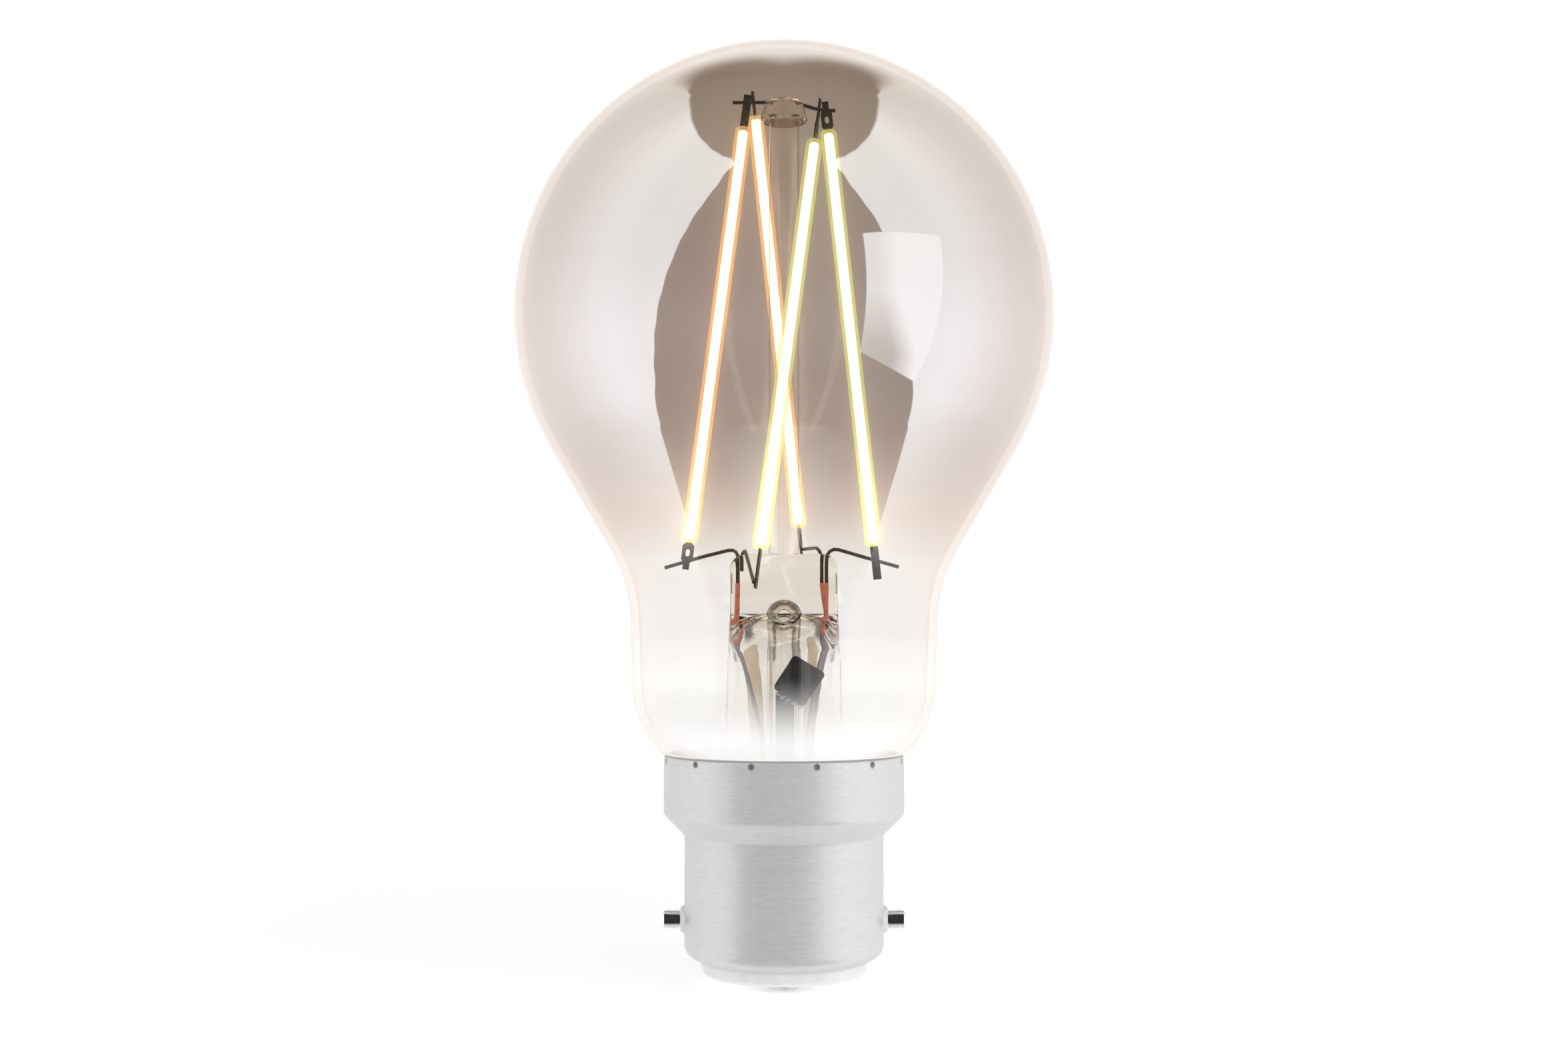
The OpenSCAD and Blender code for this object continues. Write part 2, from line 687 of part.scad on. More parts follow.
glass_envelope();
stem_flare();
exhaust_tube();
centre_rod();
support_button();
support_wire_warm();
support_wire_cool();
lead_wire_common();
lead_wire_branch();
lead_wire_warm();
lead_wire_cool();
seal_wires();
lead_tails();
lead_insulators();
warm_left_strip();
warm_left_tabs();
warm_left_chips();
warm_left_coat();
warm_back_strip();
warm_back_tabs();
warm_back_chips();
warm_back_coat();
cool_front_strip();
cool_front_tabs();
cool_front_chips();
cool_front_coat();
cool_right_strip();
cool_right_tabs();
cool_right_chips();
cool_right_coat();
cap_shell();
bayonet_pin_left();
bayonet_pin_right();
base_insulator();
contact_plate_front();
contact_plate_back();
solder_pad_front();
solder_pad_back();
cap_cement();
driver_liner();
mains_wires();
driver_board();
bridge_rectifier();
bulk_capacitor();
filter_inductor();
fuse_resistor();
driver_chip();
radio_module();
radio_shield();
antenna_lead();
antenna_block();
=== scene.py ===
"""Looks of the smart filament lamp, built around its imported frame. Metres, +Z up, front is -Y."""
import json
import math

import bpy
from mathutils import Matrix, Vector


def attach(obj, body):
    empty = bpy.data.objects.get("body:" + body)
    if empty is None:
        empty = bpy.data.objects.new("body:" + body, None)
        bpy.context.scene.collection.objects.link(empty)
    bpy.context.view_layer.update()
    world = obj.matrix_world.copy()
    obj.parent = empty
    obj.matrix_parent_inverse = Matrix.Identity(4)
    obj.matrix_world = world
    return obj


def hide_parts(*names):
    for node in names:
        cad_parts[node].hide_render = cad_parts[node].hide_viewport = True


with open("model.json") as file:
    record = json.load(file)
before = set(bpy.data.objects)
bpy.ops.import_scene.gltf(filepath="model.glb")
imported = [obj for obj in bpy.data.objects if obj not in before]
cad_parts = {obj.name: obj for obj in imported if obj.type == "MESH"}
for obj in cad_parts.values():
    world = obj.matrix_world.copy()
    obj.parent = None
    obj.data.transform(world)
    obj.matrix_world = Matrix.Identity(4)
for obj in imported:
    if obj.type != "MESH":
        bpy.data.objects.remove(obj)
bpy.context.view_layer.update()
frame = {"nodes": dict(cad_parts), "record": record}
nodes = frame["nodes"]
scene = bpy.context.scene
MM = 0.001
WHITE = (1, 1, 1, 1)


# ---------------------------------------------------------------- node graph helpers
def add(tree, kind, inputs=(), **props):
    """A node with its properties set and its inputs linked or given a value."""
    n = tree.nodes.new(kind)
    for k, v in props.items():
        setattr(n, k, v)
    for k, v in dict(inputs).items():
        if isinstance(v, bpy.types.NodeSocket):
            tree.links.new(v, n.inputs[k])
        else:
            n.inputs[k].default_value = v
    return n


def math_node(tree, operation, a, b=0.0, clamp=False):
    return add(tree, "ShaderNodeMath", {0: a, 1: b}, operation=operation, use_clamp=clamp).outputs[0]


def vector_node(tree, operation, a, b=(0, 0, 0)):
    """A vector operation whose result is one number."""
    return add(tree, "ShaderNodeVectorMath", {0: a, 1: b}, operation=operation).outputs["Value"]


def remap(tree, value, a, b, low=0.0, high=1.0, kind="LINEAR"):
    """value from a..b to low..high, clamped."""
    return add(tree, "ShaderNodeMapRange",
               {"Value": value, "From Min": a, "From Max": b, "To Min": low, "To Max": high},
               interpolation_type=kind, clamp=True).outputs["Result"]


def ramp(tree, value, stops, interpolation="LINEAR"):
    """A colour ramp through (position, colour) stops."""
    n = add(tree, "ShaderNodeValToRGB", {"Fac": value})
    n.color_ramp.interpolation = interpolation
    e = n.color_ramp.elements
    while len(e) > 1:
        e.remove(e[-1])
    for i, (p, c) in enumerate(stops):
        item = e[0] if i == 0 else e.new(p)
        item.position = p
        item.color = (*c, 1.0)
    return n.outputs["Color"]


def mix_colour(tree, fac, a, b, blend="MIX"):
    n = add(tree, "ShaderNodeMix", data_type="RGBA", blend_type=blend, clamp_factor=True)
    for i, v in ((0, fac), (6, a), (7, b)):
        if isinstance(v, bpy.types.NodeSocket):
            tree.links.new(v, n.inputs[i])
        elif i == 0:
            n.inputs[i].default_value = v
        else:
            n.inputs[i].default_value = (*v, 1.0)
    return n.outputs[2]


def mix_value(tree, fac, a, b):
    return add(tree, "ShaderNodeMix", {0: fac, 2: a, 3: b}, data_type="FLOAT").outputs[0]


def mix_shader(tree, fac, a, b):
    return add(tree, "ShaderNodeMixShader", {0: fac, 1: a, 2: b}).outputs[0]


def material(name):
    m = bpy.data.materials.new(name)
    m.use_nodes = True
    m.node_tree.nodes.clear()
    out = m.node_tree.nodes.new("ShaderNodeOutputMaterial")
    return m, m.node_tree, out


def place(tree, stretch=(1, 1, 1)):
    """Object coordinates, stretched."""
    coords = add(tree, "ShaderNodeTexCoord").outputs["Object"]
    return add(tree, "ShaderNodeMapping", {"Vector": coords, "Scale": stretch}).outputs[0]


def height(tree):
    """Height above the contact plane in millimetres."""
    coords = add(tree, "ShaderNodeTexCoord").outputs["Object"]
    z = add(tree, "ShaderNodeSeparateXYZ", {0: coords}).outputs["Z"]
    return math_node(tree, "MULTIPLY", z, 1 / MM)


def noise(tree, vector, scale, detail=3.0, roughness=0.5):
    return add(tree, "ShaderNodeTexNoise",
               {"Vector": vector, "Scale": scale, "Detail": detail, "Roughness": roughness}).outputs["Fac"]


def bump_of(tree, level, strength, distance=0.05 * MM):
    return add(tree, "ShaderNodeBump",
               {"Height": level, "Strength": strength, "Distance": distance}).outputs[0]


# ---------------------------------------------------------------- materials
def surface(name, dark, light, scale, rough, metallic=0.0, bump=0.0, bump_scale=None, **fixed):
    """A principled surface whose colour and roughness follow a fine noise."""
    m, t, out = material(name)
    where = place(t)
    grain = noise(t, where, scale)
    colour = ramp(t, grain, [(0.3, dark), (0.7, light)])
    inputs = {"Base Color": colour, "Roughness": remap(t, grain, 0.3, 0.7, *rough), "Metallic": metallic}
    inputs.update(fixed)
    if bump:
        inputs["Normal"] = bump_of(t, noise(t, where, bump_scale or scale * 1.7, 2.0), bump)
    shader = add(t, "ShaderNodeBsdfPrincipled", inputs)
    t.links.new(shader.outputs[0], out.inputs["Surface"])
    return m


def lit(name, dim, bright, strength, scale=1500.0):
    """A part that glows in its own colour: the LED strip and chips are lamps, but on the seal and the
    insulation the glow is painted light.
    """
    m, t, out = material(name)
    grain = noise(t, place(t), scale)
    colour = ramp(t, grain, [(0.3, dim), (0.7, bright)])
    shader = add(t, "ShaderNodeBsdfPrincipled", {
        "Base Color": colour, "Roughness": 0.5, "Emission Color": colour, "Emission Strength": strength})
    t.links.new(shader.outputs[0], out.inputs["Surface"])
    return m


def facing(tree):
    """0 where the surface faces the eye, 1 at its edge."""
    return add(tree, "ShaderNodeLayerWeight", {"Blend": 0.5}).outputs["Facing"]


def gloss_share(tree, edge, low):
    """Share of light a thin glass face throws back: low head on, nearly all of it at the edge."""
    rise = math_node(tree, "POWER", edge, 4.6)
    return math_node(tree, "ADD", low, math_node(tree, "MULTIPLY", rise, 0.9), clamp=True)


def thin_face(tree, tint, share, sheen=WHITE):
    """A face of thin glass: lets tinted light straight through and throws its share back."""
    clear = add(tree, "ShaderNodeBsdfTransparent", {"Color": tint}).outputs[0]
    gloss = add(tree, "ShaderNodeBsdfGlossy", {"Color": sheen, "Roughness": 0.0}).outputs[0]
    return mix_shader(tree, share, clear, gloss)


def smoked_glass():
    """Blown glass whose mirror-like smoky film is on the outside and fades towards the neck."""
    m, t, out = material("smoked_glass")
    cloud = noise(t, place(t), 28.0, 2.0)
    z = math_node(t, "ADD", height(t), remap(t, cloud, 0.3, 0.7, -0.8, 0.8))

    # tint by height in millimetres
    low, high = 40.0, 104.0
    tint = ramp(t, remap(t, z, low, high), [((h - low) / (high - low), colour) for h, colour in (
        (40.0, (0.865, 0.830, 0.815)),
        (45.8, (0.880, 0.840, 0.800)),
        (51.3, (0.710, 0.590, 0.520)),
        (57.2, (0.530, 0.430, 0.378)),
        (63.2, (0.445, 0.342, 0.306)),
        (69.1, (0.490, 0.385, 0.343)),
        (76.5, (0.465, 0.362, 0.322)),
        (83.2, (0.410, 0.312, 0.265)),
        (89.9, (0.430, 0.338, 0.262)),
        (97.4, (0.520, 0.415, 0.325)))])
    tint = mix_colour(t, remap(t, z, 38.0, 33.0), tint, (0.94, 0.92, 0.885))

    # each of the four faces that an eye ray crosses takes its share of the tint, more at the edge
    edge = facing(t)
    path = remap(t, edge, 0.0, 1.0, 0.25, 0.36)
    face_tint = add(t, "ShaderNodeGamma", {"Color": tint, "Gamma": path}).outputs[0]

    # the film mirrors on the outer face only, seen from outside
    outside = add(t, "ShaderNodeAttribute", attribute_name="outside").outputs["Fac"]
    front = math_node(t, "SUBTRACT", 1.0, add(t, "ShaderNodeNewGeometry").outputs["Backfacing"])
    film = math_node(t, "MULTIPLY", outside, front)
    film = math_node(t, "MULTIPLY", film, remap(t, z, 44.0, 62.0, 0.0, 0.27))
    share = gloss_share(t, edge, math_node(t, "ADD", film, 0.015))
    sheen = mix_colour(t, remap(t, edge, 0.25, 0.85), (0.90, 0.965, 1.0), (0.97, 0.90, 0.85))
    glass = thin_face(t, face_tint, share, sheen)

    # cloudy white haze in the foot of the bulb, which also gives off a faint white glow: painted light
    haze = math_node(t, "MULTIPLY", remap(t, z, 33.5, 26.0, 0.0, 0.8, "SMOOTHSTEP"), outside)
    haze = math_node(t, "MULTIPLY", haze, remap(t, edge, 0.45, 0.9, 1.0, 0.25))
    # painted light: the haze glows faintly white though it is no lamp
    haze_and_glow = add(t, "ShaderNodeBsdfPrincipled", {
        "Base Color": (0.9, 0.9, 0.9, 1), "Roughness": 0.6, "Emission Color": (1, 0.99, 0.98, 1),
        "Emission Strength": 0.22}).outputs[0]
    t.links.new(mix_shader(t, haze, glass, haze_and_glow), out.inputs["Surface"])
    return m


def clear_glass():
    """Hand-drawn stem glass: straw tint in the press, slow waves, a clear rod above it, with painted shade
    darkening the edges of the rod and of the blow-hole's ball.
    """
    m, t, out = material("clear_glass")
    z = height(t)
    edge = facing(t)
    waves = noise(t, place(t, (1, 1, 0.6)), 420.0, 2.0)
    wavy = ramp(t, waves, [(0.3, (0.95, 0.93, 0.90)), (0.7, (0.985, 0.975, 0.96))])
    colour = mix_colour(t, remap(t, z, 36.0, 42.0), wavy, (0.915, 0.87, 0.80))

    # the ball of the blow-hole is painted dark towards its edge: painted shade in place of the outline the
    # thick glass bends there
    hole_centre, hole_radius, soft = (0, 0, 40.1 * MM), 2.1 * MM, 0.05 * MM
    from_hole = vector_node(t, "DISTANCE", add(t, "ShaderNodeTexCoord").outputs["Object"], hole_centre)
    on_hole = remap(t, from_hole, hole_radius - soft, hole_radius + soft, 0.9, 0.0)
    ring = ramp(t, edge, [
        (0.18, (1, 1, 1)), (0.42, (0.30, 0.32, 0.27)), (0.62, (0.12, 0.13, 0.10)), (0.85, (0.5, 0.5, 0.42))])
    colour = mix_colour(t, on_hole, colour, ring, "MULTIPLY")
    thick = add(t, "ShaderNodeBsdfPrincipled", {
        "Base Color": colour, "Roughness": 0.0, "IOR": 1.47, "Transmission Weight": 1.0,
        "Normal": bump_of(t, waves, 0.12, 0.2 * MM)}).outputs[0]

    # the rod, between the press and the button, its edges painted dark brown as painted shade for what the
    # thick rod bends
    rod_foot, rod_top, soft = 47.15, 95.85, 0.05
    # painted shade: the rod's colour turns dark brown towards its edge
    rim = ramp(t, edge, [
        (0.0, (0.985, 0.97, 0.96)), (0.55, (0.96, 0.94, 0.92)), (0.80, (0.66, 0.57, 0.49)),
        (1.0, (0.30, 0.23, 0.19))])
    thin = thin_face(t, rim, gloss_share(t, edge, 0.03))
    above_foot = remap(t, z, rod_foot, rod_foot + soft)
    below_top = remap(t, z, rod_top, rod_top - soft)
    on_rod = math_node(t, "MULTIPLY", above_foot, below_top)
    t.links.new(mix_shader(t, on_rod, thick, thin), out.inputs["Surface"])
    return m


def phosphor(name, dim, bright, strength, core):
    """Clear silicone full of phosphor: its skin is half see-through, its core is white-hot."""
    m, t, out = material(name)
    core_strength, skin_cover = 7.5, 0.5
    grain = noise(t, place(t), 1300.0)
    colour = ramp(t, grain, [(0.3, dim), (0.7, bright)])
    inner = add(t, "ShaderNodeAttribute", attribute_name="core").outputs["Fac"]
    glow = add(t, "ShaderNodeEmission", {
        "Color": mix_colour(t, inner, colour, core),
        "Strength": mix_value(t, inner, strength, core_strength)}).outputs[0]
    clear = add(t, "ShaderNodeBsdfTransparent", {"Color": WHITE}).outputs[0]
    cover = mix_value(t, inner, skin_cover, 1.0)
    t.links.new(mix_shader(t, cover, clear, glow), out.inputs["Surface"])
    return m


def brushed_cap():
    """Drawn aluminium, brushed round the axis, with a line under the rolled rim that is bumped in and
    darkened by painted shade, and dimples darkened by painted shade.
    """
    m, t, out = material("cap_metal")
    rim_line, dimple_height, dimples, collar_radius = 24.92, 24.45, 12, 13.3
    streaks = noise(t, place(t, (700, 700, 8000)), 1.0, 4.0, 0.7)
    broad = noise(t, place(t, (40, 40, 900)), 1.0, 2.0)
    z = height(t)
    # the line under the rim: a real bump, and a dark grey colour along it that is painted shade
    groove_and_shade = math_node(t, "ABSOLUTE", math_node(t, "SUBTRACT", z, rim_line))
    groove_and_shade = remap(t, groove_and_shade, 0.02, 0.07, 0.0, 1.0, "SMOOTHSTEP")
    colour = ramp(t, streaks, [(0.25, (0.53, 0.53, 0.53)), (0.75, (0.69, 0.69, 0.695))])
    colour = mix_colour(t, remap(t, broad, 0.3, 0.7, 0.0, 0.25), colour, (0.54, 0.54, 0.55))
    # painted shade: the line under the rolled rim is coloured dark grey
    colour = mix_colour(t, groove_and_shade, (0.36, 0.36, 0.37), colour)

    # distance in millimetres from the nearest dimple, across and up; the dimples are coloured near-black as
    # painted shade
    x, y, _ = add(t, "ShaderNodeSeparateXYZ", {0: place(t)}).outputs
    pitch = 2 * math.pi * collar_radius / dimples
    turn = math_node(t, "MULTIPLY", math_node(t, "ARCTAN2", y, x), dimples / (2 * math.pi))
    across = math_node(t, "MULTIPLY", math_node(t, "SUBTRACT", math_node(t, "FRACT", turn), 0.5), pitch)
    up = math_node(t, "SUBTRACT", z, dimple_height)
    away = vector_node(t, "LENGTH", add(t, "ShaderNodeCombineXYZ", {0: across, 1: up}).outputs[0])
    # painted shade: near-black colour in each dimple
    colour = mix_colour(t, remap(t, away, 0.24, 0.44, 0.85, 0.0), colour, (0.10, 0.10, 0.105))

    level = math_node(t, "ADD", math_node(t, "MULTIPLY", streaks, 0.25), groove_and_shade)
    shader = add(t, "ShaderNodeBsdfPrincipled", {
        "Base Color": colour, "Metallic": 0.22, "Roughness": remap(t, streaks, 0.25, 0.75, 0.34, 0.46),
        "Normal": bump_of(t, level, 0.5)})
    t.links.new(shader.outputs[0], out.inputs["Surface"])
    return m


MATERIALS = {"smoked_glass": smoked_glass(), "clear_glass": clear_glass(), "cap_metal": brushed_cap()}

# slot, skin dark and bright, its strength, core
for slot, *look in (
        ("coat_warm", (1.0, 0.52, 0.16), (1.0, 0.64, 0.26), 1.9, (1.0, 0.92, 0.80)),
        ("coat_cool", (0.72, 0.82, 0.20), (0.84, 0.90, 0.32), 1.65, (0.99, 1.0, 0.86))):
    MATERIALS[slot] = phosphor(slot, *look)

# slot, dim, bright, strength, size of the grain; the glow on the seal and the insulation is painted light
for slot, *look in (
        ("seal_metal", (0.62, 0.16, 0.10), (0.80, 0.30, 0.20), 0.25),
        ("strip_ceramic", (1.0, 0.93, 0.82), (1.0, 0.98, 0.93), 7.0),
        ("chip", (1.0, 0.97, 0.90), (1.0, 1.0, 0.98), 9.0),
        ("insulation", (0.86, 0.68, 0.48), (0.94, 0.80, 0.62), 0.3, 700.0)):
    MATERIALS[slot] = lit(slot, *look)

# slot, dark, light, size of the grain, roughness, metallic, bump, size of the bumps
for slot, *look in (
        ("support_metal", (0.035, 0.028, 0.024), (0.10, 0.08, 0.065), 2500, (0.35, 0.55), 0.85),
        ("tail_metal", (0.34, 0.32, 0.35), (0.52, 0.49, 0.53), 2200, (0.35, 0.5), 0.4),
        ("tab_metal", (0.03, 0.023, 0.018), (0.10, 0.075, 0.055), 1800, (0.35, 0.6), 0.8, 0.4),
        ("pin_metal", (0.55, 0.55, 0.56), (0.72, 0.72, 0.73), 1600, (0.06, 0.16), 1.0),
        ("base_plastic", (0.74, 0.74, 0.735), (0.82, 0.82, 0.815), 700, (0.30, 0.42), 0.0, 0.15),
        ("contact_brass", (0.55, 0.38, 0.16), (0.78, 0.60, 0.30), 1500, (0.22, 0.4), 1.0, 0.2),
        ("solder", (0.42, 0.42, 0.43), (0.66, 0.66, 0.67), 1100, (0.22, 0.42), 1.0, 0.6, 700),
        ("cement", (0.66, 0.64, 0.58), (0.80, 0.78, 0.72), 1500, (0.8, 0.95), 0.0, 0.8),
        ("liner_plastic", (0.74, 0.74, 0.71), (0.82, 0.82, 0.80), 600, (0.45, 0.6)),
        ("wire_insulation", (0.55, 0.16, 0.08), (0.70, 0.26, 0.14), 900, (0.5, 0.7)),
        ("board", (0.015, 0.085, 0.03), (0.03, 0.14, 0.05), 500, (0.25, 0.4)),
        ("black_part", (0.010, 0.010, 0.011), (0.03, 0.03, 0.032), 1500, (0.4, 0.6), 0.0, 0.3),
        ("capacitor_sleeve", (0.012, 0.015, 0.07), (0.03, 0.035, 0.12), 400, (0.2, 0.35)),
        ("ferrite", (0.035, 0.035, 0.037), (0.075, 0.075, 0.08), 2000, (0.6, 0.8), 0.0, 0.5),
        ("resistor_body", (0.12, 0.26, 0.32), (0.20, 0.36, 0.42), 800, (0.3, 0.45)),
        ("radio_board", (0.01, 0.04, 0.12), (0.02, 0.07, 0.18), 500, (0.25, 0.4)),
        ("shield_tin", (0.50, 0.50, 0.50), (0.68, 0.68, 0.67), 700, (0.25, 0.42), 1.0, 0.2)):
    MATERIALS[slot] = surface(slot, *look)

MATERIALS["antenna_sleeve"] = surface(
    "antenna_sleeve", (0.004, 0.004, 0.004), (0.016, 0.015, 0.015), 1300, (0.3, 0.45), bump=0.5,
    **{"Specular IOR Level": 0.3})

slot_of = {s["node"]: s["material_slot"] for s in frame["record"]["subparts"]}


def dress(obj, slot):
    obj.data.materials.clear()
    obj.data.materials.append(MATERIALS[slot])


for name, obj in nodes.items():
    dress(obj, slot_of[name])
    obj.data.shade_smooth()
    obj.data.set_sharp_from_angle(angle=math.radians(35))


# ---------------------------------------------------------------- new pieces
def add_piece(name, verts, faces, slot, stands_for=()):
    """A new mesh piece of the lamp, in metres, smooth but for its sharp edges."""
    mesh = bpy.data.meshes.new(name)
    mesh.from_pydata([tuple(v) for v in verts], [], faces)
    mesh.validate()
    mesh.shade_smooth()
    mesh.set_sharp_from_angle(angle=math.radians(40))
    obj = bpy.data.objects.new(name, mesh)
    scene.collection.objects.link(obj)
    dress(obj, slot)
    if stands_for:
        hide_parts(*stands_for)
    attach(obj, "root")
    return obj


def mark(obj, attribute, count):
    """Gives the first so many vertices of a piece the attribute 1, the rest 0."""
    data = obj.data.attributes.new(attribute, "FLOAT", "POINT").data
    data.foreach_set("value", [1.0 if i < count else 0.0 for i in range(len(data))])


def lofted(rings, sides, centre=(0.0, 0.0)):
    """Verts and faces through closed rings of (half width, half depth, squareness, height) in mm."""
    rows, verts = [], []
    for half_x, half_y, square, z in rings:
        if half_x < 1e-6:
            rows.append([len(verts)] * sides)
            verts.append((centre[0] * MM, centre[1] * MM, z * MM))
            continue
        rows.append(range(len(verts), len(verts) + sides))
        for k in range(sides):
            c, s = math.cos(2 * math.pi * k / sides), math.sin(2 * math.pi * k / sides)
            x = half_x * math.copysign(abs(c) ** (2 / square), c)
            y = half_y * math.copysign(abs(s) ** (2 / square), s)
            verts.append(((centre[0] + x) * MM, (centre[1] + y) * MM, z * MM))
    faces = []
    for i, low in enumerate(rows):
        high = rows[(i + 1) % len(rows)]
        for k in range(sides):
            quad = [low[k], low[(k + 1) % sides], high[(k + 1) % sides], high[k]]
            quad = [q for j, q in enumerate(quad) if q not in quad[:j]]
            if len(quad) > 2:
                faces.append(quad)
    return verts, faces


def revolved(outline, sides):
    """Verts and faces of a closed outline of (radius, height) in mm, turned round the axis."""
    return lofted([(r, r, 2.0, z) for r, z in outline], sides)


def arc(cx, cz, r, a0, a1, n):
    """n + 1 points from angle a0 to a1, in degrees."""
    return [(cx + r * math.cos(math.radians(a0 + (a1 - a0) * i / n)),
             cz + r * math.sin(math.radians(a0 + (a1 - a0) * i / n))) for i in range(n + 1)]


SEAL_R, SEAL_Z = 12.5, 20.2


def bulb_line(t):
    """Outline of the bulb from its seal to its top in mm, moved inwards by t."""
    ledge_z, shoulder_x, shoulder_z, shoulder_r = 25.1, 6.23, 32.6, 10.5
    ball, top, cone, neck, fillet = 30.0, 74.0, 30.5, 17.0, 16.5
    slope = math.radians(cone)
    drop = (ball * math.cos(slope) - neck - fillet * (1 - math.cos(slope))) / math.tan(slope)
    fillet_z = top - (ball + fillet) * math.sin(slope) - drop
    line = [(SEAL_R - t, SEAL_Z), (SEAL_R - t, ledge_z + 0.75 * t)]
    line += arc(shoulder_x, shoulder_z, shoulder_r - t, -45.5, 0, 16)
    line += arc(neck + fillet, fillet_z, fillet + t, 180, 180 - cone, 18)
    line += arc(0, top, ball - t, -cone, 89.0, 64)
    return line + [(0.0, top + ball - t)]


def blown_envelope():
    """The bulb as one smooth wall of glass, with its outer face marked."""
    wall, sides = 0.9, 160
    skin = bulb_line(0)
    verts, faces = revolved(skin + bulb_line(wall)[::-1], sides)
    envelope = add_piece("blown_envelope", verts, faces, "smoked_glass", ["glass_envelope"])
    mark(envelope, "outside", sides * (len(skin) - 1) + 1)


def pressed_stem():
    """The flare tube drawn smoothly down into the flat press, with the domed end of its hollow."""
    flare_x, flare_z, flare_r, wall = 11.6, 25.2, 5.0, 0.8

    # up the outside: flare, tube, then flatter and squarer into the press with its rounded top
    rings = [(SEAL_R, SEAL_R, 2, SEAL_Z)]
    rings += [(r, r, 2, z) for r, z in arc(flare_x, flare_z, flare_r, 270, 180, 10)]
    rings += [(6.45, 6.45, 2, 30), (6.3, 6.3, 2, 35), (6.2, 5.9, 2.2, 36.5), (6.15, 4.9, 3.5, 37.5),
              (6.1, 3.7, 6, 38.5), (6.05, 2.6, 10, 39.5), (6.0, 2.0, 12, 40.3), (5.97, 1.77, 12, 41.1),
              (5.95, 1.7, 12, 42.0), (5.95, 1.7, 12, 44.0)]
    for i in range(7):
        c, s = math.cos(math.radians(15 * i)), math.sin(math.radians(15 * i))
        rings.append((4.35 + 1.6 * c, 1.2 + 0.5 * c, 12 - 0.9 * i, 45.5 + 1.6 * s))

    # through the middle of the press and down the inside of the hollow
    rings += [(2.0, 0.6, 4, 47.1), (0, 0, 2, 47.1), (0, 0, 2, 40.35)]
    rings += [(1.6, 0.3, 2, 40.3), (3.0, 0.55, 2.2, 40.05), (4.2, 0.95, 2.5, 39.65), (5.0, 1.5, 2.8, 39.2),
              (5.35, 2.4, 3.0, 38.6), (5.5, 3.4, 2.8, 37.9), (5.55, 4.4, 2.5, 37.1), (5.58, 5.2, 2.1, 36.2),
              (5.6, 5.5, 2, 35), (5.62, 5.62, 2, 33.5), (5.7, 5.7, 2, 30)]
    rings += [(r, r, 2, z) for r, z in arc(flare_x, flare_z, flare_r + wall, 180, 270, 10)]
    rings += [(SEAL_R, SEAL_R, 2, SEAL_Z - wall)]
    verts, faces = lofted(rings, 96)
    add_piece("pressed_stem", verts, faces, "clear_glass", ["stem_flare"])


def antenna_sealant():
    """White silicone lumps where the block is stuck to its lead."""
    lumps, front_y = 11, -3.17
    verts, faces = [], []
    for i in range(lumps):
        k = i / (lumps - 1)
        x, z = -0.75 + 2.6 * k, 31.65 - 1.5 * k + 0.16 * math.sin(9.0 * i)
        r = 0.11 + 0.07 * abs(math.sin(5.1 * i + 1.0))
        rings = [(0, 0, 2, z - r)] + [(r * w, 0.8 * r * w, 2.3, z + h * r) for w, h in (
            (0.6, -0.85), (1.0 + 0.3 * math.sin(3.3 * i), -0.2), (0.9, 0.4), (0.45, 0.95))]
        v, f = lofted(rings + [(0, 0, 2, z + 1.15 * r)], 10, (x, front_y))
        faces += [[q + len(verts) for q in face] for face in f]
        verts += v
    add_piece("antenna_sealant", verts, faces, "cement")


def length_frame(obj):
    """Middle, direction and half length of a long thin piece, from its mesh."""
    end_zone = 1.2 * MM
    points = [obj.matrix_world @ v.co for v in obj.data.vertices]
    top, low = max(points, key=lambda p: p.z), min(points, key=lambda p: p.z)
    highest = [p for p in points if p.z > top.z - end_zone]
    lowest = [p for p in points if p.z < low.z + end_zone]
    a, b = sum(lowest, Vector()) / len(lowest), sum(highest, Vector()) / len(highest)
    return (a + b) / 2, (b - a).normalized(), (top - low).length / 2


def glow_core(filament):
    """The white-hot inside of the phosphor, a rod with rounded ends along the strip."""
    middle, up, half = length_frame(nodes[filament + "_strip"])
    turn = up.to_track_quat("Z", "Y")
    r, rounding, h = 0.52, 0.3, half / MM + 0.2
    line = [(0.0, -h)]
    line += arc(r - rounding, rounding - h, rounding, -80, 0, 4)
    line += arc(r - rounding, h - rounding, rounding, 0, 80, 4)
    line += [(0.0, h)]
    verts, faces = revolved(line, 24)
    placed = [middle + turn @ Vector(v) for v in verts]
    core = add_piece(filament + "_core", placed, faces, slot_of[filament + "_coat"])
    mark(core, "core", len(verts))


blown_envelope()
pressed_stem()
antenna_sealant()
for filament in ("warm_left", "warm_back", "cool_front", "cool_right"):
    glow_core(filament)


# ---------------------------------------------------------------- stage, light, camera
def direction(azimuth, elevation):
    """Unit vector from an azimuth, 0 in front and 90 at the right, and an elevation, in degrees."""
    a, e = math.radians(azimuth), math.radians(elevation)
    return Vector((math.sin(a) * math.cos(e), -math.cos(a) * math.cos(e), math.sin(e)))


def curve(tree, value, stops):
    """A smooth curve through (position, value) stops, both from 0 to 1."""
    return ramp(tree, value, [(p, (v, v, v)) for p, v in stops], "CARDINAL")


def beyond(tree, value, limit, soft):
    """0 before the limit, 1 past it."""
    past = math_node(tree, "DIVIDE", math_node(tree, "SUBTRACT", value, limit), soft)
    return remap(tree, past, -1.0, 1.0, 0.0, 1.0, "SMOOTHSTEP")


